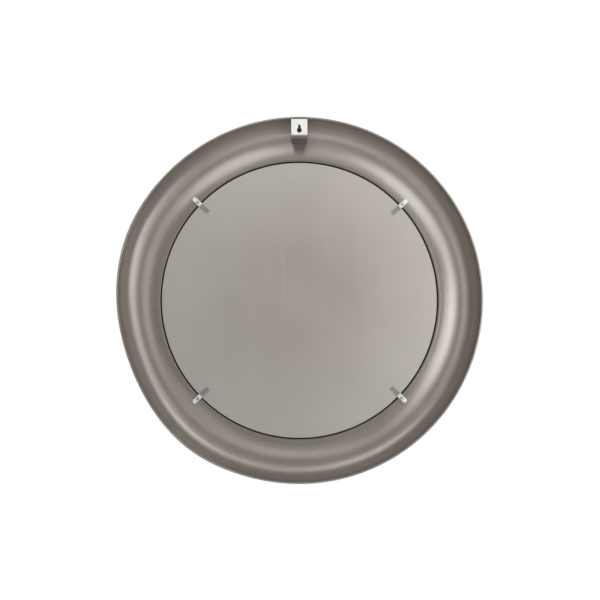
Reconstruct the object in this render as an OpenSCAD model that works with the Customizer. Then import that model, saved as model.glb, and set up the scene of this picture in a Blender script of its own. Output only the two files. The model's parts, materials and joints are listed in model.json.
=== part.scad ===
// Round wall mirror: a domed pane in a deep rolled sheet-metal ring, hung from one keyhole strap.
// +Z is up, the mirror faces -Y and the wall is at y = 0. The origin is the centre of the keyhole's
// round hole, in the wall plane. Depths are measured from the wall plane towards the room, and
// left and right are as seen from the room.

/* [Frame ring] */
// Outside diameter over the rim bead
frame_d = 600; // [590:1:610]
// Thickness of the ring's sheet metal
sheet = 1.2; // [0.8:0.1:1.4]
// Radius of the rolled bead at the rim
bead_r = 1.5; // [1.2:0.1:1.8]
// Depth of the ring from the wall plane to its crest
frame_depth = 42; // [41:0.5:46]
// Radius of the gutter's deepest circle
crest_r = 264; // [262:0.5:265]
// Depth of the flat land that carries the clips
land_depth = 33; // [31:0.5:34]

/* [Pane seat] */
// Inside radius of the seat that holds the pane and the back plate
seat_r = 231.5; // [231.1:0.1:231.7]
// Inside radius of the lip in front of the pane
lip_r = 220.5; // [219.5:0.5:221.5]
// Gap between the seat and the pane or the back plate
seat_gap = 2.3; // [1.5:0.1:3]

/* [Pane and back plate] */
// Rise of the dome above its flange
dome_rise = 40; // [30:1:60]
// Thickness of the pane
pane_t = 3; // [2:0.5:4]
// Thickness of the back plate
plate_t = 1.5; // [1:0.1:2]
// Thickness of the foam ring between the back plate and the pane
foam_t = 2; // [1.5:0.5:2.5]
// Thickness of the gasket between the pane and the lip
gasket_t = 1.5; // [1:0.1:2]

/* [Hanger] */
// Width of the keyhole strap
strap_w = 26.6; // [24:0.2:30]
// Thickness of the strap
strap_t = 1.5; // [1.2:0.1:2]
// Distance from the mirror's axis up to the keyhole's round hole
hang_drop = 278; // [277:0.5:280]
// Diameter of the keyhole's round hole
keyhole_d = 8; // [7:0.5:9]
// Width of the keyhole's slot
slot_w = 3.8; // [3.5:0.1:4.5]
// Rise from the round hole's centre to the slot's seat
slot_rise = 7.3; // [6:0.1:8]

/* [Clips] */
// Length of a clip
clip_l = 35; // [32:0.5:36]
// Width of a clip
clip_w = 7.6; // [7:0.1:9]
// Thickness of a clip at its screw
clip_t = 3.2; // [2.6:0.1:3.6]
// Thickness of the clip's tongue
tongue_t = 2; // [1.6:0.1:2.4]
// Distance from the clip's outer end to its screw
clip_tail = 10.5; // [9:0.5:11]
// Radius of the screw circle
screw_circle_r = 234.9; // [234.8:0.1:235]
// Thread diameter of the clip screws
screw_d = 2.5; // [2:0.5:2.5]

/* [Hidden] */
$fn = 96;
SPOTS = ["top_right", "top_left", "bottom_left", "bottom_right"];
// The clip holes are drilled by hand, a degree or two off the diagonals
SPOT_ANGLES = [44, 137, 223.5, 316];
FIXINGS = ["clip", "clip_screw", "clip_spacer", "clip_nut"];

eps = 0.01;
arc_steps = 12;          // chords in a full quarter roll
bend_steps = 5;          // chords in a tight bend

// Ring: radii of its rolls and bends, on the wall side of the sheet
rim_out_r = frame_d / 2;
rim_in_r = rim_out_r - 2 * bead_r;
outer_roll_r = rim_in_r - crest_r;
floor_depth = frame_depth - sheet;
land_bend_r = 1.8;
lip_bend_r = 1.5;
land_out_r = 235.7;      // where the land turns down into the gutter
shoulder_r = 3;          // radius of that turn
slope = 32;              // angle of the gutter's inner wall below the land
shoulder_end = [land_out_r + shoulder_r * sin(slope), land_depth + shoulder_r * (1 - cos(slope))];
// The roll that runs smoothly from the sloping wall into the gutter's floor
inner_roll_r = ((crest_r - shoulder_end[0]) * sin(slope) - (floor_depth - shoulder_end[1]) * cos(slope))
    / (1 - cos(slope));

// Stack of the seat, from the wall side to the lip
plate_depth = land_depth - 0.6;
foam_depth = plate_depth + plate_t;
flange_depth = foam_depth + foam_t;
gasket_depth = flange_depth + pane_t;
lip_depth = gasket_depth + gasket_t;
pane_r = seat_r - seat_gap;
ring_edge_gap = 1;       // soft rings stop this much short of the pane's edge
foam_w = 11;
dome_base_r = lip_r - 4;
dome_r = (pow(dome_base_r, 2) + pow(dome_rise, 2)) / (2 * dome_rise);

// Hanger strap
strap_low = hang_drop - 8;
strap_bend_r = 2.6;      // outside radius of the strap's upper bends
foot_bend_r = 1.1;       // inside radius of the bend into its foot
top_leg_l = 14;
foot_l = 7;

// Clip fixings
pivot_play = 0.08;       // radial play of a clip on its screw
face_play = 0.15;        // play above and below a clip
clip_depth = land_depth - 1;  // depth of the clip's flat underside
step_at = 8.5;           // distance from the screw to the slope between a clip's body and its tongue
step_l = 2;              // length of that slope
head_r = 2.4;
head_t = 1.8;
drive_w = 0.8;
drive_t = 0.9;
spacer_r = 3.5;
nut_r = 1.9;
nut_gap = 0.05;
nut_l = 8;
nut_end_t = 1;
thread_gap = 0.02;

// Moves a part drawn round the mirror's axis, with its depth along z, into the hung frame
module on_axis() {
    translate([0, 0, -hang_drop]) rotate([90, 0, 0]) children();
}

// Carries a part to one clip's screw: x runs outwards from the mirror's axis
module at_spot(i) {
    on_axis() rotate([0, 0, SPOT_ANGLES[i]]) translate([screw_circle_r, 0, 0]) children();
}

// Points along an arc, from angle a to angle b; first = 1 leaves out the point it shares with the
// stretch before it
function arc(centre, r, a, b, steps, first = 0) =
    [for (k = [first:steps]) let (t = a + (b - a) * k / steps) centre + r * [cos(t), sin(t)]];

// One skin of the ring's sheet, as [radius, depth] points from the rim to the lip: away = 0 is the
// skin on the wall side, away = sheet the skin on the room side
function ring_skin(away) = concat(
    arc([crest_r, floor_depth - outer_roll_r], outer_roll_r + away, 0, 90, arc_steps),
    arc([crest_r, floor_depth - inner_roll_r], inner_roll_r + away, 90, 90 + slope, arc_steps, 1),
    arc([land_out_r, land_depth + shoulder_r], shoulder_r - away, slope - 90, -90, bend_steps),
    arc([seat_r + land_bend_r, land_depth + land_bend_r], land_bend_r - away, -90, -180, bend_steps),
    arc([seat_r - lip_bend_r, lip_depth - lip_bend_r], lip_bend_r + away, 0, 90, bend_steps),
    [[lip_r, lip_depth + away]]
);

function reversed(points) = [for (k = [len(points) - 1:-1:0]) points[k]];

// The bead, rolled outwards, from where it meets the sheet's room side round to its wall side
function bead() = arc([rim_out_r - bead_r, bead_r], bead_r, acos(sheet / bead_r - 1), -180, 3 * bend_steps);

// The ring: one sheet, spun, with a rolled bead at the rim and a hole for each clip nut
module frame_shell() {
    color([0.55, 0.52, 0.48]) difference() {
        on_axis() rotate_extrude($fn = 180)
            polygon(concat(bead(), ring_skin(0), reversed(ring_skin(sheet))));
        for (i = [0:len(SPOTS) - 1])
            at_spot(i) translate([0, 0, land_depth - sheet]) cylinder(r = nut_r + nut_gap, h = 3 * sheet);
    }
}

// The open space of the gutter, which the strap's ends are shaped to
module gutter_space() {
    rotate_extrude($fn = 180) polygon(concat(
        [[land_out_r, 0], [rim_in_r, 0]],
        [for (p = ring_skin(0)) if (p[0] > land_out_r + eps) p],
        [[land_out_r, land_depth]]
    ));
}

// Side view of the strap, as [height above the axis, depth]: a top leg against the rim, the plate
// in the wall plane, a leg down to the gutter's floor and a foot along it
function strap_skin(away) = concat(
    [[rim_in_r - away, top_leg_l]],
    arc([rim_in_r - strap_bend_r, strap_bend_r], strap_bend_r - away, 0, -90, bend_steps),
    arc([strap_low + strap_bend_r, strap_bend_r], strap_bend_r - away, -90, -180, bend_steps),
    arc([strap_low - foot_bend_r, floor_depth - strap_t - foot_bend_r], foot_bend_r + away, 0, 90,
        bend_steps),
    [[strap_low - foot_l, floor_depth - strap_t + away]]
);

module keyhole() {
    cylinder(d = keyhole_d, h = 4 * strap_t, center = true);
    translate([0, slot_rise, 0]) cylinder(d = slot_w, h = 4 * strap_t, center = true);
    translate([-slot_w / 2, 0, -2 * strap_t]) cube([slot_w, slot_rise, 4 * strap_t]);
}

// The hanger: one bent strap, spot-welded to the rim and to the gutter's floor
module hanger_strap() {
    color([0.86, 0.85, 0.82]) on_axis() difference() {
        intersection() {
            rotate([90, 0, 90]) linear_extrude(strap_w, center = true)
                polygon(concat(strap_skin(0), reversed(strap_skin(strap_t))));
            gutter_space();
        }
        translate([0, hang_drop, 0]) keyhole();
    }
}

module ring(outer_r, width, depth, thickness) {
    on_axis() translate([0, 0, depth]) difference() {
        cylinder(r = outer_r, h = thickness, $fn = 180);
        translate([0, 0, -eps]) cylinder(r = outer_r - width, h = thickness + 2 * eps, $fn = 180);
    }
}

module back_plate() {
    color([0.66, 0.63, 0.59])
        on_axis() translate([0, 0, plate_depth]) cylinder(r = pane_r, h = plate_t, $fn = 180);
}

module backing_foam() {
    color([0.2, 0.2, 0.2]) ring(pane_r - ring_edge_gap, foam_w, foam_depth, foam_t);
}

module lip_gasket() {
    color([0.08, 0.08, 0.08])
        ring(pane_r - ring_edge_gap, pane_r - lip_r - 2 * ring_edge_gap, gasket_depth, gasket_t);
}

// The pane: a spherical dome of even thickness inside a flat flange
module mirror_dome() {
    color([0.8, 0.85, 0.88]) on_axis() difference() {
        union() {
            translate([0, 0, flange_depth]) cylinder(r = pane_r, h = pane_t, $fn = 180);
            intersection() {
                translate([0, 0, gasket_depth + dome_rise - dome_r]) sphere(r = dome_r, $fn = 360);
                translate([0, 0, flange_depth + eps]) cylinder(r = lip_r, h = 2 * dome_rise, $fn = 180);
            }
        }
        translate([0, 0, gasket_depth + dome_rise - dome_r]) sphere(r = dome_r - pane_t, $fn = 360);
    }
}

// Plan of a clip: a strip with round ends, its screw at the origin
module clip_plan() {
    in_end = clip_tail - clip_l + clip_w / 2;
    out_end = clip_tail - clip_w / 2;
    for (x = [in_end, out_end]) translate([x, 0]) circle(d = clip_w);
    translate([in_end, -clip_w / 2]) square([out_end - in_end, clip_w]);
}

// Side view of a clip, as [distance outwards from the screw, depth]
function clip_side() = [
    [clip_tail, clip_depth],
    [clip_tail - clip_l, clip_depth],
    [clip_tail - clip_l, clip_depth - tongue_t],
    [-step_at - step_l / 2, clip_depth - tongue_t],
    [-step_at + step_l / 2, clip_depth - clip_t],
    [clip_tail, clip_depth - clip_t]
];

module clip(i) {
    color([0.8, 0.84, 0.82, 0.7]) at_spot(i) difference() {
        intersection() {
            linear_extrude(2 * clip_depth) clip_plan();
            translate([0, clip_w, 0]) rotate([90, 0, 0]) linear_extrude(2 * clip_w) polygon(clip_side());
        }
        cylinder(d = screw_d + 2 * pivot_play, h = 2 * clip_depth);
    }
}

module clip_screw(i) {
    head_depth = clip_depth - clip_t - face_play - head_t;
    shank_l = land_depth + nut_l - nut_end_t - 2 * face_play - head_depth;
    color([0.5, 0.5, 0.5]) at_spot(i) translate([0, 0, head_depth]) difference() {
        union() {
            cylinder(r1 = head_r - head_t / 3, r2 = head_r, h = head_t / 3);
            translate([0, 0, head_t / 3]) cylinder(r = head_r, h = head_t * 2 / 3);
            cylinder(d = screw_d, h = shank_l);
        }
        for (turn = [0, 90]) rotate([0, 0, turn])
            translate([-head_r * 0.6, -drive_w / 2, -eps]) cube([head_r * 1.2, drive_w, drive_t]);
    }
}

module clip_spacer(i) {
    color([0.85, 0.85, 0.82]) at_spot(i) translate([0, 0, clip_depth + face_play]) difference() {
        cylinder(r = spacer_r, h = land_depth - clip_depth - face_play);
        translate([0, 0, -eps]) cylinder(d = screw_d + 4 * pivot_play, h = land_depth);
    }
}

// A closed bush with a thread, pressed through the land
module clip_nut(i) {
    color([0.7, 0.68, 0.6]) at_spot(i) translate([0, 0, land_depth]) difference() {
        cylinder(r = nut_r, h = nut_l);
        translate([0, 0, -eps]) cylinder(d = screw_d + 2 * thread_gap, h = nut_l - nut_end_t + eps);
    }
}

frame_shell();
hanger_strap();
back_plate();
backing_foam();
mirror_dome();
lip_gasket();
for (i = [0:len(SPOTS) - 1]) {
    clip(i);
    clip_screw(i);
    clip_spacer(i);
    clip_nut(i);
}
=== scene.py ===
# %% [markdown]
# # A round wall mirror, seen from the wall side
# The object is a domed mirror in a deep ring of rolled sheet metal. From behind one sees the open
# gutter of the ring, a flat painted back plate, four clear clips with screws, and the zinc strap
# that the mirror hangs from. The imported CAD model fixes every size, place and joint. This script
# gives each piece its finished shape and its material around that frame.

# %% Load the frame
import json
import math

import bmesh
import bpy
from mathutils import Matrix, Vector


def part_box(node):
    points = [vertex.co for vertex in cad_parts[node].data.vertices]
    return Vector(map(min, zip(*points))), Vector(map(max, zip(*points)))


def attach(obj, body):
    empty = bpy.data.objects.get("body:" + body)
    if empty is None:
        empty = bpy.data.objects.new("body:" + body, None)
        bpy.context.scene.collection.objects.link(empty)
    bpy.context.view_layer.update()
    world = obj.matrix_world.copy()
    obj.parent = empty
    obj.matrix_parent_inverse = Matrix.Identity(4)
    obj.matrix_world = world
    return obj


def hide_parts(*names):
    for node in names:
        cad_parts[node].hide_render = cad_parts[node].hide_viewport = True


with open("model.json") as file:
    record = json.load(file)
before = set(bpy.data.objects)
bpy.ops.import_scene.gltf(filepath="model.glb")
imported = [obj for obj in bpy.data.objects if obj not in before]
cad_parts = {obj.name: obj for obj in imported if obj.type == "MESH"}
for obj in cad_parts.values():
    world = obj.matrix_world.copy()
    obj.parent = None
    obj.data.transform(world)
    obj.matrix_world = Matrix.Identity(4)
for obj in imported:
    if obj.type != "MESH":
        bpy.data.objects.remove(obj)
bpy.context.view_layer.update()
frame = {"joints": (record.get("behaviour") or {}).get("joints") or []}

MM = 0.001

# %% [markdown]
# ## Sizes from the frame
# A finished piece has to sit where its CAD solid sits, so the sizes come from the solids' boxes.
# Typing them in again would work until the CAD changes. The mirror's axis runs along Y, and every
# round piece is drawn by its distance from that axis and its depth from the wall, in millimetres.

# %% Sizes from the frame
def extent(node):
    """A node's box as (width / 2, nearest depth, furthest depth), in millimetres."""
    low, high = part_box(node)
    return (high.x - low.x) / 2 / MM, -high.y / MM, -low.y / MM


PLATE_LOW, PLATE_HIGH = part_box("back_plate")
AXIS_Z = (PLATE_LOW.z + PLATE_HIGH.z) / 2
AXIS = Vector((0, 0, AXIS_Z))
RIM_R, _, CREST = extent("frame_shell")
PLATE_R, PLATE_DEPTH, FOAM_DEPTH = extent("back_plate")
PANE_R, FLANGE_DEPTH, DOME_TOP = extent("mirror_dome")
SOFT_R, GASKET_DEPTH, LIP_DEPTH = extent("lip_gasket")
_, _, LAND_DEPTH = extent("clip_spacer_top_right")
STRAP_LOW, STRAP_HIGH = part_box("hanger_strap")
JOINTS = {joint["child"]: Vector(joint["pos_m"]) for joint in frame["joints"]}
print("axis at z", round(AXIS_Z, 4), "rim", round(RIM_R, 2), "crest", round(CREST, 2))
print("plate", round(PLATE_R, 2), "land", round(LAND_DEPTH, 2), "lip", round(LIP_DEPTH, 2))

# %% [markdown]
# ## Camera
# The camera stands behind the mirror, square to it and level with its middle. A lens is set from
# the width that the picture should take in at the wall plane, which is easier to reason about than
# a focal length.

# %% Camera
CAMERA_AWAY = 1.5
VIEW_W = 0.9794
CAMERA_ASIDE, CAMERA_UP = -1.1 * MM, 0.7 * MM
SENSOR = 36

camera = bpy.data.objects.new("camera", bpy.data.cameras.new("camera"))
camera.data.sensor_width = SENSOR
camera.data.lens = SENSOR * CAMERA_AWAY / VIEW_W
camera.location = (CAMERA_ASIDE, CAMERA_AWAY, AXIS_Z + CAMERA_UP)
camera.rotation_euler = (math.radians(90), 0, math.radians(180))
bpy.context.scene.collection.objects.link(camera)
bpy.context.scene.camera = camera
print("lens", round(camera.data.lens, 1), "mm")

# %% [markdown]
# ## Light
# Satin metal shows the lamps more than its own colour, so the lamps are most of the finish. Four
# small soft boxes stand near, round the right and the top of the mirror, and draw the bright arc
# in the gutter. Four larger ones further off lift the other sides, and one box lights the face of
# the mirror. One big lamp would be simpler, but it would make the ring look like grey card. The
# room is dim behind the mirror and a mid grey before it, where the dome has to show something.

# %% Light
NEAR, FAR, BEFORE = 0.85, 1.9, 2.4


def soft_box(name, off, turn, away, size, power):
    """A square lamp that looks at the mirror's middle, so many degrees off the camera's axis.

    The turn round that axis starts at the camera's right and goes up first.
    """
    lamp = bpy.data.objects.new(name, bpy.data.lights.new(name, "AREA"))
    lamp.data.shape = "SQUARE"
    lamp.data.size = size
    lamp.data.energy = power
    off, turn = math.radians(off), math.radians(turn)
    aside = math.sin(off)
    place = Vector((-aside * math.cos(turn), math.cos(off), aside * math.sin(turn)))
    lamp.location = AXIS + place * away
    lamp.rotation_euler = (-place).to_track_quat("-Z", "Y").to_euler()
    lamp.visible_camera = False
    bpy.context.scene.collection.objects.link(lamp)


soft_box("right_box", 50, -16, NEAR, 0.5, 2.1)
soft_box("upper_right_box", 50, 46, NEAR, 0.45, 1.8)
soft_box("upper_left_box", 50, 116, NEAR, 0.5, 1.8)
soft_box("top_box", 66, 78, NEAR, 0.4, 0.45)
soft_box("broad_right_box", 30, 0, FAR, 0.9, 4.2)
soft_box("broad_left_box", 30, 180, FAR, 0.9, 3.2)
soft_box("broad_low_box", 30, 265, FAR, 0.9, 3.2)
soft_box("low_left_box", 50, 225, FAR, 1.0, 2.4)
soft_box("front_box", 142, 125, BEFORE, 1.2, 18)
print("lamps", len(bpy.data.lights))

# %% The room's light
BEHIND_GREY, BEFORE_GREY = 0.05, 0.42
ALL_BEFORE, ALL_BEHIND = -0.45, 0.05
ROOM_TINT = (1, 0.985, 0.965, 1)

world = bpy.data.worlds.new("studio")
bpy.context.scene.world = world
world.use_nodes = True
sky = world.node_tree
sky.nodes.clear()
paper = sky.nodes.new("ShaderNodeBackground")
paper.inputs["Color"].default_value = (1, 1, 1, 1)
room = sky.nodes.new("ShaderNodeBackground")
room.inputs["Color"].default_value = ROOM_TINT
way = sky.nodes.new("ShaderNodeTexCoord")
parts = sky.nodes.new("ShaderNodeSeparateXYZ")
shade = sky.nodes.new("ShaderNodeMapRange")
shade.inputs["From Min"].default_value = ALL_BEFORE
shade.inputs["From Max"].default_value = ALL_BEHIND
shade.inputs["To Min"].default_value = BEFORE_GREY
shade.inputs["To Max"].default_value = BEHIND_GREY
sky.links.new(way.outputs["Generated"], parts.inputs[0])
sky.links.new(parts.outputs["Y"], shade.inputs["Value"])
sky.links.new(shade.outputs["Result"], room.inputs["Strength"])
rays = sky.nodes.new("ShaderNodeLightPath")
choose = sky.nodes.new("ShaderNodeMixShader")
out = sky.nodes.new("ShaderNodeOutputWorld")
sky.links.new(rays.outputs["Is Camera Ray"], choose.inputs["Fac"])
sky.links.new(room.outputs[0], choose.inputs[1])
sky.links.new(paper.outputs[0], choose.inputs[2])
sky.links.new(choose.outputs[0], out.inputs["Surface"])
bpy.context.scene.view_settings.view_transform = "Standard"

# %% [markdown]
# ## Floor
# A pale floor well below the hung mirror catches the light and gives the other views a ground. It
# could be a plane without end, but then its horizon would cross the picture behind the ring.

# %% Floor
HANG_HEIGHT = 1.3
FLOOR_R = 1.6

bm = bmesh.new()
bmesh.ops.create_circle(bm, cap_ends=True, segments=96, radius=FLOOR_R)
bmesh.ops.translate(bm, verts=bm.verts, vec=(0, 0, AXIS_Z - HANG_HEIGHT))
floor_mesh = bpy.data.meshes.new("floor")
bm.to_mesh(floor_mesh)
bm.free()
floor = bpy.data.objects.new("floor", floor_mesh)
bpy.context.scene.collection.objects.link(floor)

# %% [markdown]
# ## Materials as written sums
# A node editor draws a sum as boxes and wires. In a script it reads better as a sum. `Val` wraps a
# number in a node tree and turns Python's operators into Math nodes. `Finish` is one material: its
# `node` method makes any other node from its type, its settings and what goes into its sockets.

# %% Materials as written sums
class Val:
    """A number that varies over a surface."""

    def __init__(self, tree, socket):
        self.tree, self.socket = tree, socket

    def math(self, operation, *values):
        node = self.tree.nodes.new("ShaderNodeMath")
        node.operation = operation
        for place, value in zip(node.inputs, values):
            if isinstance(value, Val):
                self.tree.links.new(value.socket, place)
            else:
                place.default_value = value
        return Val(self.tree, node.outputs[0])

    def __add__(self, other):
        return self.math("ADD", self, other)

    def __radd__(self, other):
        return self.math("ADD", other, self)

    def __sub__(self, other):
        return self.math("SUBTRACT", self, other)

    def __rsub__(self, other):
        return self.math("SUBTRACT", other, self)

    def __mul__(self, other):
        return self.math("MULTIPLY", self, other)

    def __rmul__(self, other):
        return self.math("MULTIPLY", other, self)

    def __truediv__(self, other):
        return self.math("DIVIDE", self, other)

    def __pow__(self, other):
        return self.math("POWER", self, other)

    def clamped(self, low=0.0, high=1.0):
        return self.math("MAXIMUM", self.math("MINIMUM", self, high), low)

    def band(self, low, high):
        """0 below low, 1 above high and smooth between, for masks."""
        t = ((self - low) / (high - low)).clamped()
        return t * t * (3 - 2 * t)


# The Mix node has the same socket names for numbers, vectors and colours, so these are its
# places for colours
MIX_SHARE, MIX_A, MIX_B, MIX_OUTPUT = 0, 6, 7, 2


class Finish:
    """One material, built around a Principled shader."""

    def __init__(self, name, **constants):
        self.material = bpy.data.materials.new(name)
        self.material.use_nodes = True
        self.tree = self.material.node_tree
        self.shader = next(n for n in self.tree.nodes if n.type == "BSDF_PRINCIPLED")
        for socket, value in constants.items():
            self.shader.inputs[socket.replace("_", " ")].default_value = value

    def node(self, kind, settings, sockets):
        """Makes a node of a type, with its settings first and then what goes into its sockets."""
        node = self.tree.nodes.new("ShaderNode" + kind)
        for key, value in settings.items():
            setattr(node, key, value)
        for key, value in sockets.items():
            place = node.inputs[key]
            if isinstance(value, Val):
                self.tree.links.new(value.socket, place)
            else:
                place.default_value = value
        return node

    def add(self, kind, settings, sockets, out=0):
        """The same, for one of the node's outputs."""
        return Val(self.tree, self.node(kind, settings, sockets).outputs[out])

    def place(self, scale=(1, 1, 1), turn=(0, 0, 0)):
        """Object coordinates, scaled and turned, with the mirror's axis at the middle."""
        here = self.add("TexCoord", {}, {}, "Object")
        centred = self.add("Mapping", {}, {"Vector": here, "Location": (0, 0, -AXIS_Z)})
        return self.add("Mapping", {}, {"Vector": centred, "Scale": scale, "Rotation": turn})

    def polar(self):
        """The point's distance from the mirror's axis, its depth and its angle."""
        x, y, z = self.split(self.place())
        return (x * x + z * z) ** 0.5, y, x.math("ARCTAN2", z, x)

    def split(self, vector):
        """The three numbers of a vector."""
        made = self.node("SeparateXYZ", {}, {"Vector": vector})
        return [Val(self.tree, socket) for socket in made.outputs]

    def join(self, x, y, z):
        return self.add("CombineXYZ", {}, {"X": x, "Y": y, "Z": z})

    def noise(self, vector, scale, detail=3.0, rough=0.5):
        return self.add("TexNoise", {}, {
            "Vector": vector, "Scale": scale, "Detail": detail, "Roughness": rough})

    def mix(self, share, first, second):
        """Blends two colours, each a triple or a link."""
        first, second = [(*c, 1) if isinstance(c, tuple) else c for c in (first, second)]
        sockets = {MIX_SHARE: share, MIX_A: first, MIX_B: second}
        return self.add("Mix", {"data_type": "RGBA"}, sockets, MIX_OUTPUT)

    def wire(self, **links):
        """Feeds the shader: Base_Color=..., Roughness=..., bump=(height, distance)."""
        for socket, value in links.items():
            if socket == "bump":
                height, distance = value
                value = self.add(
                    "Bump", {}, {"Height": height, "Distance": distance, "Strength": 1.0})
                socket = "Normal"
            self.tree.links.new(value.socket, self.shader.inputs[socket.replace("_", " ")])
        return self.material


def give(thing, material):
    """Puts one material on a piece, in place of what it has."""
    thing.data.materials.clear()
    thing.data.materials.append(material)


# %% [markdown]
# ## Satin ring metal
# The ring was spun on a lathe and rubbed down as it turned, so its fine scratches run round it.
# Their pattern is noise that changes quickly with the distance from the axis and slowly with the
# angle. The sheet has a thick satin lacquer. A fully metallic shader would only mirror the room,
# which is dark in places, so this one is mostly a warm grey body under a strong sheen, which a
# high IOR gives. The land and the zone by the rim are darkened as painted shade, the rim's outer
# edge is painted paler, and the gap round the plate is painted black as shade. Below the strap a
# dark tapering patch is painted as the strap's shadow and reflection.

# %% The strap's painted shadow and reflection
LAND_OUT_R = 235.7
FOOT_L = 7.0
STRAP_HEEL_R = (STRAP_LOW.z - AXIS_Z) / MM + FOOT_L
# Size of the strap's shadow and reflection painted on the ring
SHADOW_L, SHADOW_FADE = 30, 15
SHADOW_WIDENS = 28
SHADOW_HALF, SHADOW_FLARE = 7.5, 7
SHADOW_SHARE = 0.93


def strap_painted_shadow(f, r):
    """A dark tapering shadow and reflection of the strap, painted on the ring below it, from 0 to 1.

    It is only on the wall side, where the faces point away from the room.
    """
    x, _, z = f.split(f.place())
    facing = f.split(f.add("NewGeometry", {}, {}, "Normal"))[1]
    along = ((r / MM - (STRAP_HEEL_R - SHADOW_L)) / SHADOW_WIDENS).clamped()
    half = SHADOW_HALF + SHADOW_FLARE * along
    across = 1 - (x.math("ABSOLUTE", x) / MM / half).band(0.72, 1.1)
    fade = (r / MM).band(STRAP_HEEL_R - SHADOW_L, STRAP_HEEL_R - SHADOW_FADE)
    wall_side = facing.math("GREATER_THAN", facing, 0) * z.math("GREATER_THAN", z, 0)
    return across * fade * wall_side * SHADOW_SHARE


# %% Satin ring metal
RING_DARK = (0.264, 0.221, 0.177)
RING_LIGHT = (0.296, 0.250, 0.203)
# Painted shade for the land and the zone near the rim
RING_PAINTED_SHADE = (0.08, 0.064, 0.050)
# Painted shadow and reflection of the strap
STRAP_SHADOW_DARK = (0.035, 0.028, 0.022)
# Paler colour for the rim's outer edge
RIM_EDGE_PALE = (0.40, 0.44, 0.43)
# Painted shade, black, for the gap round the plate
GAP_PAINTED_SHADE = (0.012, 0.010, 0.009)
LAND_SHARE, RIM_SHARE, RIM_EDGE_SHARE = 0.8, 0.35, 0.3


def ring_metal():
    f = Finish("satin_ring_metal", Metallic=0.1, IOR=2.6)
    r, y, angle = f.polar()
    lines = f.noise(f.join(r, y, angle * 0.004), 2600, 2)
    turned = f.noise(f.join(r, y * 0.2, angle * 0.0012), 330, 2)
    cloud = f.noise(f.place(), 9, 4)
    smear = f.noise(f.place(), 38, 3, 0.6)
    tone = (cloud * 0.7 + smear * 0.3).band(0.35, 0.68)
    colour = f.mix(tone, RING_DARK, RING_LIGHT)
    # The land and the zone near the rim are darkened: painted shade
    land = 1 - (r / MM).band(LAND_OUT_R - 1, LAND_OUT_R + 1.5)
    rim = (r / MM).band(RIM_R - 20, RIM_R - 4)
    colour = f.mix(land * LAND_SHARE + rim * RIM_SHARE, colour, RING_PAINTED_SHADE)
    # The strap's shadow and reflection, painted dark below its foot
    colour = f.mix(strap_painted_shadow(f, r), colour, STRAP_SHADOW_DARK)
    # The rim's outer edge is painted paler
    pale_edge = (r - (RIM_R - 2.2) * MM).band(0, 1.2 * MM)
    colour = f.mix(pale_edge * RIM_EDGE_SHARE, colour, RIM_EDGE_PALE)
    # The gap round the plate is painted black: painted shade
    in_gap = 1 - (r / MM).band(PLATE_R + 2.4, PLATE_R + 2.9)
    before_lip = 1 - (y / -MM).band(LIP_DEPTH, LIP_DEPTH + 0.4)
    colour = f.mix(in_gap * before_lip, colour, GAP_PAINTED_SHADE)
    rough = 0.30 + 0.08 * smear + 0.05 * (lines - 0.5)
    return f.wire(Base_Color=colour, Roughness=rough, bump=(lines + turned * 11, 0.008 * MM))


RING_METAL = ring_metal()

# %% [markdown]
# ## Drawing a line like a bender
# Sheet metal is made of straight runs and rolls. `Line` draws the same way: it keeps the end of
# the line, and each step extends it, straight with an extrude or round a centre with a spin. It
# draws in a plane with two directions, in millimetres. At first they are outwards from the
# mirror's axis and deeper into the room, so that a full spin makes a round piece of the line.

# %% Drawing a line like a bender
CLOSE = 0.001 * MM


class Line:
    """A line of edges in a plane, drawn from its last point."""

    def __init__(self, a, b, origin=AXIS, first=(1, 0, 0), second=(0, -1, 0)):
        self.bm = bmesh.new()
        self.origin, self.first, self.second = origin, Vector(first), Vector(second)
        self.lift(a, b)

    def point(self, a, b):
        return self.origin + (self.first * a + self.second * b) * MM

    def lift(self, a, b):
        """Starts a new line in the same mesh."""
        self.tip = self.bm.verts.new(self.point(a, b))

    def run(self, a, b):
        """A straight stretch to a point."""
        self.tip = bmesh.ops.extrude_vert_indiv(self.bm, verts=[self.tip])["verts"][0]
        self.tip.co = self.point(a, b)

    def roll(self, a, b, degrees, steps):
        """A round stretch about a centre. Plus turns the first direction to the second."""
        made = bmesh.ops.spin(
            self.bm, geom=[self.tip], cent=self.point(a, b), axis=self.first.cross(self.second),
            angle=math.radians(degrees), steps=steps)
        self.tip = made["geom_last"][0]

    def joined(self):
        bmesh.ops.remove_doubles(self.bm, verts=self.bm.verts, dist=CLOSE)
        return self.bm

    def spun(self, steps):
        """The line turned once round the axis through its origin, closed, with faces outwards."""
        bm = self.joined()
        bmesh.ops.spin(
            bm, geom=list(bm.verts) + list(bm.edges), cent=self.origin, axis=self.second,
            angle=math.tau, steps=steps, use_merge=True)
        return outwards(bm)

    def filled(self):
        """The flat face inside the line, with any inner line as a hole."""
        bm = self.joined()
        bmesh.ops.triangle_fill(bm, use_beauty=True, use_dissolve=False, edges=list(bm.edges))
        return bm


def outwards(bm):
    bmesh.ops.remove_doubles(bm, verts=bm.verts, dist=CLOSE)
    bmesh.ops.recalc_face_normals(bm, faces=bm.faces)
    return bm


def softened(bm, width, above=40, segments=2):
    """Rounds every edge that turns by more than an angle."""
    edges = [e for e in bm.edges
             if len(e.link_faces) == 2 and math.degrees(e.calc_face_angle()) > above]
    bmesh.ops.bevel(
        bm, geom=edges, offset=width * MM, offset_type="OFFSET", segments=segments, profile=0.5,
        affect="EDGES", material=-1, clamp_overlap=True)
    return bm


# %% [markdown]
# ## From mesh to piece
# Every finished mesh takes the same last steps: smooth shading with real corners left sharp, a
# material, a body to ride on, and the CAD node that it stands for, which is hidden.

# %% From mesh to piece
SHARP_DEGREES = 32


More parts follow.
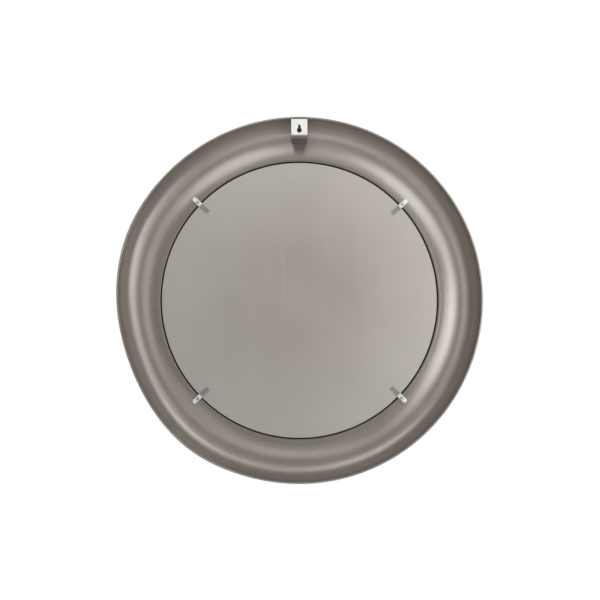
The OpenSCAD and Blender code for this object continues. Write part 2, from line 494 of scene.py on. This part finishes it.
def piece(name, bm, material, slot, body, *nodes):
    """Turns a mesh into a piece that stands for its CAD nodes and moves with a body."""
    mesh = bpy.data.meshes.new(name)
    bm.to_mesh(mesh)
    bm.free()
    mesh.shade_smooth()
    mesh.set_sharp_from_angle(angle=math.radians(SHARP_DEGREES))
    thing = bpy.data.objects.new(name, mesh)
    bpy.context.scene.collection.objects.link(thing)
    thing.modifiers.new("even_shading", "WEIGHTED_NORMAL").keep_sharp = True
    give(thing, material)
    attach(thing, body)
    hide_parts(*nodes)
    print(name, len(mesh.polygons), "faces")


# %% [markdown]
# ## The ring
# One disc of sheet is spun into a gutter: a bead at the rim, an outer roll, an inner roll that
# runs into a shallow slope back towards the wall, a narrow land for the clips, and a seat with a
# lip in front of the pane. The whole closed section, both skins of the sheet, is drawn once and
# spun. A Solidify modifier would give the thickness too, but the bead and the lip's round edge
# would then need extra pieces.

# %% The ring's section
SHEET = 1.2
BEAD_R = 1.5
WALL_R = RIM_R - 2 * BEAD_R
CREST_R = 264
GUTTER = CREST - SHEET
OUTER_ROLL = WALL_R - CREST_R
OUTER_AT = GUTTER - OUTER_ROLL
SEAT_R = PLATE_R + 2.3
LAND_BEND = 1.8
SHOULDER = 3
SLOPE = 32
LIP_BEND = 1.5
LIP_R = SOFT_R - 7.7
SIN, COS = math.sin(math.radians(SLOPE)), math.cos(math.radians(SLOPE))
SHOULDER_R, SHOULDER_DEPTH = LAND_OUT_R + SHOULDER * SIN, LAND_DEPTH + SHOULDER * (1 - COS)
# The roll that meets both the sloping wall and the gutter's floor without a kink
INNER_ROLL = ((CREST_R - SHOULDER_R) * SIN - (GUTTER - SHOULDER_DEPTH) * COS) / (1 - COS)
INNER_AT = GUTTER - INNER_ROLL
FINE, TIGHT = 22, 7


def ring_section():
    """The wall side from rim to lip, the lip's round edge, the room side back, and the bead."""
    line = Line(WALL_R, BEAD_R)
    line.run(WALL_R, OUTER_AT)
    line.roll(CREST_R, OUTER_AT, 90, FINE)
    line.roll(CREST_R, INNER_AT, SLOPE, FINE)
    line.run(SHOULDER_R, SHOULDER_DEPTH)
    line.roll(LAND_OUT_R, LAND_DEPTH + SHOULDER, -SLOPE, TIGHT)
    line.run(SEAT_R + LAND_BEND, LAND_DEPTH)
    line.roll(SEAT_R + LAND_BEND, LAND_DEPTH + LAND_BEND, -90, TIGHT)
    line.run(SEAT_R, LIP_DEPTH - LIP_BEND)
    line.roll(SEAT_R - LIP_BEND, LIP_DEPTH - LIP_BEND, 90, TIGHT)
    line.run(LIP_R + SHEET / 2, LIP_DEPTH)
    line.roll(LIP_R + SHEET / 2, LIP_DEPTH + SHEET / 2, -180, TIGHT)
    line.run(SEAT_R - LIP_BEND, LIP_DEPTH + SHEET)
    line.roll(SEAT_R - LIP_BEND, LIP_DEPTH - LIP_BEND, -90, TIGHT)
    line.run(SEAT_R + SHEET, LAND_DEPTH + LAND_BEND)
    line.roll(SEAT_R + LAND_BEND, LAND_DEPTH + LAND_BEND, 90, TIGHT)
    line.run(LAND_OUT_R, LAND_DEPTH + SHEET)
    line.roll(LAND_OUT_R, LAND_DEPTH + SHOULDER, SLOPE, TIGHT)
    line.run(CREST_R - (INNER_ROLL + SHEET) * SIN, INNER_AT + (INNER_ROLL + SHEET) * COS)
    line.roll(CREST_R, INNER_AT, -SLOPE, FINE)
    line.roll(CREST_R, OUTER_AT, -90, FINE)
    meet = math.acos(SHEET / BEAD_R - 1)
    line.run(WALL_R + SHEET, BEAD_R + BEAD_R * math.sin(meet))
    line.roll(RIM_R - BEAD_R, BEAD_R, -180 - math.degrees(meet), 2 * TIGHT)
    return line


print("inner roll", round(INNER_ROLL, 2), "outer roll", round(OUTER_ROLL, 2))

# %% [markdown]
# ### The knock in the rim
# The real ring has taken a knock low on one side: its outline and the rolls next to it wander in
# and out by two to four millimetres. A modifier could bend it, but the shape wanted is simple, a
# push that depends on the angle and grows from nothing at the land to its full size at the rim.

# %% Spin and knock the ring
KNOCKS = [  # angle round the mirror from +X up to +Z, half width in degrees, push in millimetres
    (22, 17, 2.3), (-19, 19, -3.9), (-54, 15, 3.2),
]
KNOCK_GROWTH = 0.8


def knock(angle):
    """How far the rim is pushed outwards at an angle."""
    push = 0
    for at, width, size in KNOCKS:
        off = (angle - at + 180) % 360 - 180
        push += size * math.exp(-((off / width) ** 2))
    return push


def knocked(bm):
    for v in bm.verts:
        out = Vector((v.co.x, 0, v.co.z - AXIS_Z))
        share = (out.length / MM - LAND_OUT_R) / (RIM_R - LAND_OUT_R)
        if share > 0:
            push = knock(math.degrees(math.atan2(out.z, out.x)))
            v.co += out.normalized() * push * MM * min(share, 1) ** KNOCK_GROWTH
    return bm


RING_STEPS = 300
ring = knocked(ring_section().spun(RING_STEPS))
piece("ring", ring, RING_METAL, "frame_metal", "mirror", "frame_shell")

# %% [markdown]
# ## The back plate
# A disc cut from painted sheet lies in the seat. Its paint is an even satin grey that has gone
# blotchy, with a few long rub marks. Towards the edge it is painted paler, a painted sheen. A
# plain cylinder would be the right size, but the thin bright line round a real one is the light
# in its rounded edge, so the edge gets a small roll.

# %% Plate paint
PLATE_DARK = (0.400, 0.364, 0.321)
PLATE_LIGHT = (0.447, 0.411, 0.368)
PLATE_RUB = tuple(part * 1.13 for part in PLATE_LIGHT)
# Painted sheen towards the plate's edge
PLATE_PAINTED_SHEEN = (0.545, 0.514, 0.474)
RUB_LEAN = math.radians(-6)
RUB_SHARE, SHEEN_SHARE = 0.3, 0.58
SHEEN_FROM_R = 30


def plate_paint():
    f = Finish("plate_paint", Metallic=0.35, Specular_IOR_Level=0.5)
    blotch = f.noise(f.place(), 16, 6, 0.62)
    haze = f.noise(f.place(), 4, 2)
    speck = f.noise(f.place(), 420, 2)
    rub = f.noise(f.place((60, 1, 1.5), (0, RUB_LEAN, 0)), 1.0, 3)
    r, _, _ = f.polar()
    tone = (blotch * 0.55 + haze * 0.45).band(0.3, 0.7)
    colour = f.mix(tone, PLATE_DARK, PLATE_LIGHT)
    colour = f.mix(rub.band(0.66, 0.74) * RUB_SHARE, colour, PLATE_RUB)
    # Paler towards the edge: a painted sheen
    colour = f.mix((r / MM).band(SHEEN_FROM_R, PLATE_R) * SHEEN_SHARE, colour, PLATE_PAINTED_SHEEN)
    rough = 0.46 + 0.08 * tone + 0.06 * (speck - 0.5)
    return f.wire(Base_Color=colour, Roughness=rough, bump=(speck * 0.5 + blotch, 0.03 * MM))


PLATE_PAINT = plate_paint()

# %% The back plate
EDGE = 0.45
EDGE_STEPS = 4
DISC_STEPS = 180


def plate_section():
    """A disc with rounded edges, from its middle on the wall side round to the other side."""
    line = Line(0, PLATE_DEPTH)
    line.run(PLATE_R / 2, PLATE_DEPTH)
    line.run(PLATE_R - EDGE, PLATE_DEPTH)
    line.roll(PLATE_R - EDGE, PLATE_DEPTH + EDGE, 90, EDGE_STEPS)
    line.run(PLATE_R, FOAM_DEPTH - EDGE)
    line.roll(PLATE_R - EDGE, FOAM_DEPTH - EDGE, 90, EDGE_STEPS)
    line.run(0, FOAM_DEPTH)
    return line


plate = plate_section().spun(DISC_STEPS)
piece("plate_disc", plate, PLATE_PAINT, "plate_paint", "mirror", "back_plate")

# %% [markdown]
# ## Zinc plate
# Bright zinc is a cool pale metal with a fine crystal cloud and dull finger marks. The strap was
# cut from a rolled strip, so the faint rolling lines run along it. Below its bend the lower leg
# is painted brown and its foot darker still, both painted shade, so both follow the depth. A fully
# metallic shader would mirror the dark room here too, so most of this one is a pale body.

# %% Zinc plate
ZINC_DARK, ZINC_LIGHT = (0.87, 0.86, 0.83), (0.92, 0.91, 0.89)
# Painted shade for the strap's lower leg and its foot
LEG_PAINTED_SHADE, FOOT_PAINTED_SHADE = (0.26, 0.205, 0.16), (0.07, 0.06, 0.05)
LEG_SHARE, FOOT_SHARE = 0.75, 0.8


def zinc_plate():
    f = Finish("zinc_plate", Metallic=0.15)
    crystals = f.noise(f.place(), 700, 2)
    marks = f.noise(f.place(), 90, 4, 0.6)
    strip = f.noise(f.place((1500, 30, 30)), 1.0, 2)
    colour = f.mix(marks.band(0.4, 0.7), ZINC_DARK, ZINC_LIGHT)
    r, y, _ = f.polar()
    # The lower leg and its foot are darkened: painted shade
    below = (1 - (r / MM).band(STRAP_HEEL_R + 2, STRAP_HEEL_R + 6)) * (y / -MM).band(2, 5)
    colour = f.mix(below * LEG_SHARE, colour, LEG_PAINTED_SHADE)
    colour = f.mix(below * (y / -MM).band(30, 38) * FOOT_SHARE, colour, FOOT_PAINTED_SHADE)
    rough = 0.33 + 0.16 * marks + 0.06 * crystals
    return f.wire(Base_Color=colour, Roughness=rough, bump=(strip + crystals * 0.4, 0.012 * MM))


ZINC = zinc_plate()

# %% [markdown]
# ## The hanger strap
# A strip of zinc-plated steel is punched with a keyhole and bent. Its plate lies in the wall
# plane, a short leg is welded to the inside of the rim, and a long leg with a foot stands on the
# gutter's floor. The plate is filled between its outline and the keyhole first. The bends and
# legs then grow out of its two ends with spins and extrudes, and the whole sheet gets its
# thickness at once, as bending a real strip would keep it.

# %% The hanger strap
STRAP_T = 1.5
CAD_SLACK = 0.25
WELD_GAP = 0.35
STRAP_EDGE = 0.25
STRAP_HALF = (STRAP_HIGH.x - STRAP_LOW.x) / 2 / MM
STRAP_TOP = STRAP_HIGH.z / MM - CAD_SLACK
STRAP_BOTTOM = -8.0
BEND, TOP_BEND = 2.6, 1.7
FOOT_BEND = 1.1
HOLE_R, SLOT_HALF, SLOT_TOP = 4.0, 1.9, 7.3
TOP_LEG = 14.0


def keyhole_plate():
    """The flat middle of the strap, with its keyhole, in the wall plane."""
    low, high = STRAP_BOTTOM + BEND, STRAP_TOP - TOP_BEND
    line = Line(-STRAP_HALF, low, Vector(), (1, 0, 0), (0, 0, 1))
    line.run(STRAP_HALF, low)
    line.run(STRAP_HALF, high)
    line.run(-STRAP_HALF, high)
    line.run(-STRAP_HALF, low)
    neck = math.sqrt(HOLE_R ** 2 - SLOT_HALF ** 2)
    open_half = math.degrees(math.asin(SLOT_HALF / HOLE_R))
    line.lift(-SLOT_HALF, neck)
    line.run(-SLOT_HALF, SLOT_TOP)
    line.roll(0, SLOT_TOP, -180, 12)
    line.run(SLOT_HALF, neck)
    line.roll(0, 0, -360 + 2 * open_half, 30)
    return line.filled()


def end_edges(bm, up, depth):
    """The open edges at one end of the strap, found by their place."""
    near = 10 * CLOSE
    return [e for e in bm.edges if e.is_boundary and all(
        abs(v.co.z - up * MM) < near and abs(v.co.y + depth * MM) < near for v in e.verts)]


def bend_on(bm, edges, up, depth, degrees, steps=6):
    made = bmesh.ops.spin(
        bm, geom=edges, cent=(0, -depth * MM, up * MM), axis=(1, 0, 0),
        angle=math.radians(degrees), steps=steps)
    return [g for g in made["geom_last"] if isinstance(g, bmesh.types.BMEdge)]


def leg_on(bm, edges, up, deeper):
    made = bmesh.ops.extrude_edge_only(bm, edges=edges)["geom"]
    verts = [g for g in made if isinstance(g, bmesh.types.BMVert)]
    bmesh.ops.translate(bm, verts=verts, vec=(0, -deeper * MM, up * MM))
    return [g for g in made if isinstance(g, bmesh.types.BMEdge) and all(v in verts for v in g.verts)]


def strap_mesh():
    bm = keyhole_plate()
    top = bend_on(bm, end_edges(bm, STRAP_TOP - TOP_BEND, 0), STRAP_TOP - TOP_BEND, TOP_BEND, 90)
    leg_on(bm, top, 0, TOP_LEG - TOP_BEND)
    floor_at = GUTTER - WELD_GAP
    leg = bend_on(bm, end_edges(bm, STRAP_BOTTOM + BEND, 0), STRAP_BOTTOM + BEND, BEND, -90)
    leg = leg_on(bm, leg, 0, floor_at - STRAP_T - FOOT_BEND - BEND)
    foot = bend_on(bm, leg, STRAP_BOTTOM - FOOT_BEND, floor_at - STRAP_T - FOOT_BEND, 90)
    leg_on(bm, foot, -(FOOT_L - FOOT_BEND), 0)
    outwards(bm)
    plate = max(bm.faces, key=lambda face: face.calc_center_median().y)
    if plate.normal.y < 0:
        bmesh.ops.reverse_faces(bm, faces=bm.faces)
    bmesh.ops.solidify(bm, geom=list(bm.faces), thickness=STRAP_T * MM)
    return softened(outwards(bm), STRAP_EDGE, above=60)


piece("strap", strap_mesh(), ZINC, "zinc_plate", "mirror", "hanger_strap")

# %% [markdown]
# ## Clear plastic
# The clips are moulded from clear plastic. The thick end round the screw scatters light and looks
# milky, and the thin tongue lets the painted plate show through. Real refraction would cost a lot
# for so small a piece, so the tongue is mostly transparent and the thick end mostly is not.

# %% Clear plastic
TONGUE_GREY, MILK_WHITE = (0.34, 0.34, 0.325), (0.88, 0.91, 0.90)
TONGUE_ALPHA, MILK_ALPHA = 0.28, 0.66


def clear_plastic():
    f = Finish("clear_plastic", Specular_IOR_Level=0.6)
    r, _, _ = f.polar()
    milk = (r / MM).band(PLATE_R - 4.5, PLATE_R + 1.5)
    flow = f.noise(f.place(), 260, 3)
    haze = f.noise(f.place(), 900, 2)
    colour = f.mix(milk, TONGUE_GREY, MILK_WHITE)
    alpha = TONGUE_ALPHA + MILK_ALPHA * milk + 0.10 * (flow - 0.5)
    rough = 0.16 + 0.14 * haze
    return f.wire(Base_Color=colour, Alpha=alpha, Roughness=rough, bump=(flow, 0.02 * MM))


CLEAR = clear_plastic()

# %% [markdown]
# ## The turn clips
# Each clip is a strip with round ends, thick at its screw and thin over the plate. Its plan is
# filled round the screw hole and pulled up to full thickness. Two cuts across it mark the slope,
# and the top beyond them is pushed down to the tongue's height, so that the hole stays round.

# %% The turn clips
SPOTS = ["top_right", "top_left", "bottom_left", "bottom_right"]
CLIP_L = 35.0
CLIP_TAIL = 10.5
CLIP_HALF = 3.8
CLIP_HOLE = 1.33
TONGUE_T = 2.0
STEP_OUT, STEP_IN = -7.5, -9.5
CLIP_EDGE = 0.35
END_STEPS, HOLE_STEPS = 14, 24


def at_spot(spot):
    """A clip's screw axis in the wall plane, and the directions out from the mirror and across."""
    place = JOINTS["clip_" + spot].copy()
    place.y = 0
    out = (place - AXIS).normalized()
    return place, out, out.cross(Vector((0, -1, 0)))


def clip_mesh(spot):
    place, out, across = at_spot(spot)
    _, over, under = extent("clip_" + spot)
    round_out, round_in = CLIP_TAIL - CLIP_HALF, CLIP_TAIL - CLIP_L + CLIP_HALF
    level = place + Vector((0, -under * MM, 0))
    line = Line(round_out, -CLIP_HALF, level, out, across)
    line.roll(round_out, 0, 180, END_STEPS)
    line.run(round_in, CLIP_HALF)
    line.roll(round_in, 0, 180, END_STEPS)
    line.run(round_out, -CLIP_HALF)
    line.lift(CLIP_HOLE, 0)
    line.roll(0, 0, 360, HOLE_STEPS)
    bm = line.filled()
    made = bmesh.ops.extrude_face_region(bm, geom=list(bm.faces))["geom"]
    top = [g for g in made if isinstance(g, bmesh.types.BMVert)]
    bmesh.ops.translate(bm, verts=top, vec=(0, (under - over) * MM, 0))
    for cut in (STEP_OUT, STEP_IN):
        bmesh.ops.bisect_plane(
            bm, geom=list(bm.verts) + list(bm.edges) + list(bm.faces), dist=CLOSE,
            plane_co=place + out * cut * MM, plane_no=out)
    lowered = [v for v in bm.verts
               if v.co.y > -(under - 0.1) * MM and (v.co - place).dot(out) < (STEP_IN + 0.01) * MM]
    bmesh.ops.translate(bm, verts=lowered, vec=(0, -(under - over - TONGUE_T) * MM, 0))
    bmesh.ops.dissolve_limit(bm, angle_limit=math.radians(1), verts=bm.verts, edges=bm.edges)
    return softened(outwards(bm), CLIP_EDGE)


for spot in SPOTS:
    clip = "clip_" + spot
    piece("clip_arm_" + spot, clip_mesh(spot), CLEAR, "clear_plastic", clip, clip)

# %% [markdown]
# ## Screws, spacers and bushes
# A small domed screw goes through each clip and a nylon spacer into a threaded bush that is
# pressed through the land. All three are lines spun round the screw's own axis. The cross in the
# head is a pocket: the faces in its arms are pulled down and drawn in, as the punch leaves it.

# %% Screw nickel, nylon and bush zinc
def screw_nickel():
    f = Finish("screw_nickel", Metallic=1.0)
    grain = f.noise(f.place(), 1800, 2)
    stain = f.noise(f.place(), 500, 3)
    colour = f.mix(stain, (0.40, 0.40, 0.39), (0.56, 0.55, 0.53))
    return f.wire(Base_Color=colour, Roughness=0.24 + 0.16 * stain, bump=(grain, 0.01 * MM))


def natural_nylon():
    f = Finish("natural_nylon", Specular_IOR_Level=0.4)
    cloud = f.noise(f.place(), 600, 3)
    colour = f.mix(cloud, (0.70, 0.70, 0.65), (0.80, 0.80, 0.76))
    return f.wire(Base_Color=colour, Roughness=0.42 + 0.12 * cloud, bump=(cloud, 0.02 * MM))


def bush_zinc():
    f = Finish("bush_zinc", Metallic=1.0)
    cloud = f.noise(f.place(), 420, 3)
    colour = f.mix(cloud.band(0.35, 0.65), (0.62, 0.52, 0.30), (0.70, 0.62, 0.42))
    return f.wire(Base_Color=colour, Roughness=0.30 + 0.15 * cloud, bump=(cloud, 0.01 * MM))


NICKEL, NYLON, BUSH_ZINC = screw_nickel(), natural_nylon(), bush_zinc()

# %% Screws
SHANK_R = 1.25
HEAD_T = 1.8
CROSS_HUB_R, CROSS_ARM_R, CROSS_DEPTH = 0.42, 1.3, 0.4
ARM_DEGREES = 17
POCKET, POCKET_SHARE = 0.75, 0.7
SCREW_STEPS = 48


def screw_mesh(spot):
    place, _, _ = at_spot(spot)
    head_r, top, tip = extent("clip_screw_" + spot)
    line = Line(0, top, place)
    line.run(CROSS_HUB_R, top + 0.01)
    line.run(1.35, top + 0.14)
    line.run(head_r - 0.4, top + 0.34)
    line.run(head_r - 0.1, top + 0.62)
    line.run(head_r, top + 0.95)
    line.run(head_r, top + 1.75)
    line.run(head_r - 0.05, top + HEAD_T)
    line.run(SHANK_R, top + HEAD_T)
    line.run(SHANK_R, tip - 0.5)
    line.run(SHANK_R - 0.5, tip)
    line.run(0, tip)
    bm = line.spun(SCREW_STEPS)
    arms = []
    for face in bm.faces:
        middle = (face.calc_center_median() - place) / MM
        reach = math.hypot(middle.x, middle.z)
        turn = math.degrees(math.atan2(middle.z, middle.x)) % 90
        on_arm = reach < CROSS_ARM_R and min(turn, 90 - turn) < ARM_DEGREES
        if -middle.y < top + CROSS_DEPTH and (reach < CROSS_HUB_R or on_arm):
            arms.append(face)
    made = bmesh.ops.extrude_face_region(bm, geom=arms)["geom"]
    bmesh.ops.delete(bm, geom=[f for f in arms if f.is_valid], context="FACES_ONLY")
    pocket = [g for g in made if isinstance(g, bmesh.types.BMVert)]
    bmesh.ops.scale(
        bm, verts=pocket, vec=(POCKET_SHARE, 1, POCKET_SHARE), space=Matrix.Translation(-place))
    bmesh.ops.translate(bm, verts=pocket, vec=(0, -POCKET * MM, 0))
    return outwards(bm)


# %% Spacers
SPACER_HOLE, SPACER_EDGE = 1.42, 0.25
SPACER_STEPS = 40


def spacer_mesh(spot):
    place, _, _ = at_spot(spot)
    outer, top, bottom = extent("clip_spacer_" + spot)
    line = Line(SPACER_HOLE, top, place)
    line.run(outer - SPACER_EDGE, top)
    line.roll(outer - SPACER_EDGE, top + SPACER_EDGE, 90, EDGE_STEPS)
    line.run(outer, bottom - SPACER_EDGE)
    line.roll(outer - SPACER_EDGE, bottom - SPACER_EDGE, 90, EDGE_STEPS)
    line.run(SPACER_HOLE, bottom)
    line.run(SPACER_HOLE, top)
    return line.spun(SPACER_STEPS)


# %% Bushes
KNURLS, KNURL_DEPTH = 18, 0.06
BORE_R, BORE_FLOOR = 1.27, 1
BUSH_END = 0.3


def bush_mesh(spot):
    """A closed bush: smooth where it passes the land, knurled behind it, dished at its end."""
    place, _, _ = at_spot(spot)
    outer, top, bottom = extent("clip_nut_" + spot)
    line = Line(BORE_R, top, place)
    line.run(outer, top)
    line.run(outer, top + SHEET + 0.2)
    line.run(outer - 0.02, top + SHEET + 0.5)
    line.run(outer - 0.02, bottom - 0.9)
    line.run(outer - BUSH_END, bottom - BUSH_END)
    line.roll(outer - 2 * BUSH_END, bottom - BUSH_END, 90, 3)
    line.run(0, bottom - 0.25)
    line.lift(0, bottom - BORE_FLOOR)
    line.run(BORE_R, bottom - BORE_FLOOR)
    line.run(BORE_R, top)
    bm = line.spun(4 * KNURLS)
    for v in bm.verts:
        out = Vector((v.co.x - place.x, 0, v.co.z - place.z))
        behind = top + SHEET + 0.4 < -v.co.y / MM < bottom - 0.8
        if behind and out.length > (outer - 0.1) * MM:
            wave = math.cos(KNURLS * math.atan2(out.z, out.x))
            v.co -= out.normalized() * KNURL_DEPTH * MM * (1 - wave)
    return bm


# %% Make the screws, spacers and bushes
for spot in SPOTS:
    piece("screw_" + spot, screw_mesh(spot), NICKEL, "screw_steel", "mirror", "clip_screw_" + spot)
    piece("spacer_" + spot, spacer_mesh(spot), NYLON, "nylon", "mirror", "clip_spacer_" + spot)
    piece("bush_" + spot, bush_mesh(spot), BUSH_ZINC, "nut_steel", "mirror", "clip_nut_" + spot)

# %% [markdown]
# ## The domed pane
# The front is a slumped glass dome with a flat flange, silvered on its back. A sphere cut by a
# boolean would give the dome, but the flange needs a clean edge, so both faces of the glass are
# drawn as one line, with the dome as a roll about the far centre of its sphere.

# %% Silvered glass
def silvered_glass():
    f = Finish("silvered_glass", Metallic=1.0, Coat_Weight=0.6, Coat_Roughness=0.02)
    r, _, _ = f.polar()
    wipe = f.noise(f.place((1, 1, 6), (0, math.radians(30), 0)), 14, 4)
    dust = f.noise(f.place(), 700, 2).band(0.62, 0.75)
    edge = (r / MM).band(PANE_R - 9, PANE_R)
    colour = f.mix(edge * 0.6, (0.90, 0.915, 0.91), (0.50, 0.60, 0.56))
    rough = 0.015 + 0.035 * wipe.band(0.45, 0.75) + 0.05 * dust
    return f.wire(Base_Color=colour, Roughness=rough, bump=(wipe, 0.002 * MM))


SILVERED = silvered_glass()

# %% The domed pane
DOME_BASE_R = LIP_R - 4
DOME_RISE = DOME_TOP - GASKET_DEPTH
DOME_R = (DOME_BASE_R ** 2 + DOME_RISE ** 2) / (2 * DOME_RISE)
DOME_AT = DOME_TOP - DOME_R
PANE_EDGE = 0.6
DOME_STEPS = 36


def pane_section():
    thick = GASKET_DEPTH - FLANGE_DEPTH
    outside = math.degrees(math.asin(DOME_BASE_R / DOME_R))
    inner_r = DOME_R - thick
    inside = math.degrees(math.acos((FLANGE_DEPTH - DOME_AT) / inner_r))
    line = Line(0, DOME_TOP)
    line.roll(0, DOME_AT, -outside, DOME_STEPS)
    line.run(PANE_R - PANE_EDGE, GASKET_DEPTH)
    line.roll(PANE_R - PANE_EDGE, GASKET_DEPTH - PANE_EDGE, -90, EDGE_STEPS)
    line.run(PANE_R, FLANGE_DEPTH + PANE_EDGE)
    line.roll(PANE_R - PANE_EDGE, FLANGE_DEPTH + PANE_EDGE, -90, EDGE_STEPS)
    line.run(inner_r * math.sin(math.radians(inside)), FLANGE_DEPTH)
    line.roll(0, DOME_AT, inside, DOME_STEPS)
    return line


piece("pane", pane_section().spun(DISC_STEPS), SILVERED, "mirror", "mirror", "mirror_dome")
print("dome radius", round(DOME_R, 1))

# %% [markdown]
# ## Gasket and foam
# Soft rings hold the pane: a rubber gasket against the lip and a foam ring under the back plate.
# Both are closed strips with rounded corners, spun from the same short function.

# %% Rubber and foam
def soft_finish(name, colour, rough, scale, depth):
    f = Finish(name, Specular_IOR_Level=0.3)
    cells = f.noise(f.place(), scale, 4, 0.6)
    bloom = f.noise(f.place(), 60, 3)
    light = tuple(part * 1.7 + 0.01 for part in colour)
    return f.wire(
        Base_Color=f.mix(bloom, colour, light), Roughness=rough + 0.1 * cells,
        bump=(cells, depth * MM))


RUBBER = soft_finish("black_rubber", (0.012, 0.012, 0.012), 0.62, 900, 0.02)
FOAM = soft_finish("grey_foam", (0.03, 0.03, 0.03), 0.85, 1600, 0.08)

# %% Gasket and foam
def strip_section(inner, outer, near, far, edge):
    """A strip with four rounded corners."""
    line = Line(inner + edge, near)
    line.run(outer - edge, near)
    line.roll(outer - edge, near + edge, 90, EDGE_STEPS)
    line.run(outer, far - edge)
    line.roll(outer - edge, far - edge, 90, EDGE_STEPS)
    line.run(inner + edge, far)
    line.roll(inner + edge, far - edge, 90, EDGE_STEPS)
    line.run(inner, near + edge)
    line.roll(inner + edge, near + edge, 90, EDGE_STEPS)
    return line


gasket = strip_section(LIP_R + 1, SOFT_R, GASKET_DEPTH, LIP_DEPTH, 0.5)
piece("gasket", gasket.spun(DISC_STEPS), RUBBER, "rubber", "mirror", "lip_gasket")
foam = strip_section(SOFT_R - 11, SOFT_R, FOAM_DEPTH, FLANGE_DEPTH, 0.7)
piece("foam_ring", foam.spun(DISC_STEPS), FOAM, "foam", "mirror", "backing_foam")

# %% [markdown]
# ## Floor finish
# A matt off-white with a breath of mottling, so that it reads as a real floor in the wide views.

# %% Floor finish
def floor_finish():
    f = Finish("floor_finish", Roughness=0.9)
    cloud = f.noise(f.place(), 3, 5)
    return f.wire(Base_Color=f.mix(cloud, (0.90, 0.90, 0.89), (0.94, 0.94, 0.93)))


give(floor, floor_finish())
